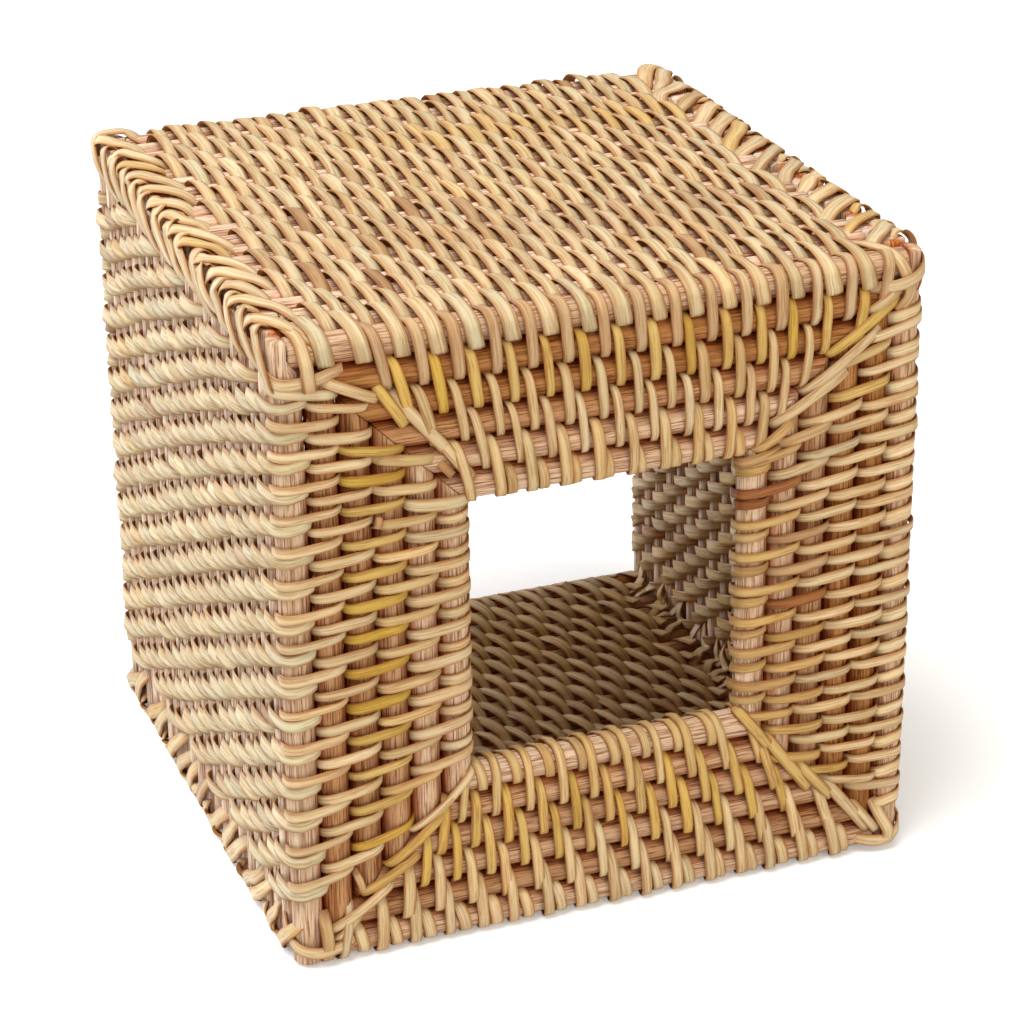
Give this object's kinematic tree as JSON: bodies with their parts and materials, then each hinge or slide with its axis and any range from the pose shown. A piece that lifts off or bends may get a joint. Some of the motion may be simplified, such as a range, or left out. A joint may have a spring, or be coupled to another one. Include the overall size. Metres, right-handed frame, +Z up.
{
  "type": "tissue box cover",
  "caption": "Woven rattan cover for a cube tissue box: square courses of round rods lashed with flat cane, a square window for the tissues and an open base.",
  "frame": {"origin": "middle of the underside, on the plane that the cover lies on", "axes": "+X to the right across the window face, +Y from the window face to the open base, +Z up. The cover lies on one wall as pictured. In use it is turned so that +Y points down."},
  "size_m": [0.147, 0.1468, 0.147],
  "materials": {
    "rod": "matt peeled rattan",
    "strip": "split cane with its skin on, slightly glossy"
  },
  "bodies": {
    "root": {"course_01": "rod", "course_02": "rod", "course_03": "rod", "course_04": "rod", "course_05": "rod", "course_06": "rod", "course_07": "rod", "course_08": "rod", "course_09": "rod", "course_10": "rod", "course_11": "rod", "course_12": "rod", "course_13": "rod", "course_14": "rod", "course_15": "rod", "course_16": "rod", "course_17": "rod", "course_18": "rod", "course_19": "rod", "course_20": "rod", "course_21": "rod", "face_course_2": "rod", "face_course_3": "rod", "face_course_4": "rod", "face_course_5": "rod", "face_course_6": "rod", "lashing_01": "strip", "lashing_02": "strip", "lashing_03": "strip", "lashing_04": "strip", "lashing_05": "strip", "lashing_06": "strip", "lashing_07": "strip", "lashing_08": "strip", "lashing_09": "strip", "lashing_10": "strip", "lashing_11": "strip", "lashing_12": "strip", "lashing_13": "strip", "lashing_14": "strip", "lashing_15": "strip", "lashing_16": "strip", "lashing_17": "strip", "lashing_18": "strip", "lashing_19": "strip", "lashing_20": "strip", "face_lashing_1": "strip", "face_lashing_2": "strip", "face_lashing_3": "strip", "face_lashing_4": "strip", "face_lashing_5": "strip", "window_binding": "strip", "rim_binding": "strip", "edge_binding_top_left": "strip", "edge_binding_top_right": "strip", "edge_binding_bottom_right": "strip", "edge_binding_bottom_left": "strip", "mitre_straps": "strip", "underside_lashing": "strip"}
  },
  "joints": []
}
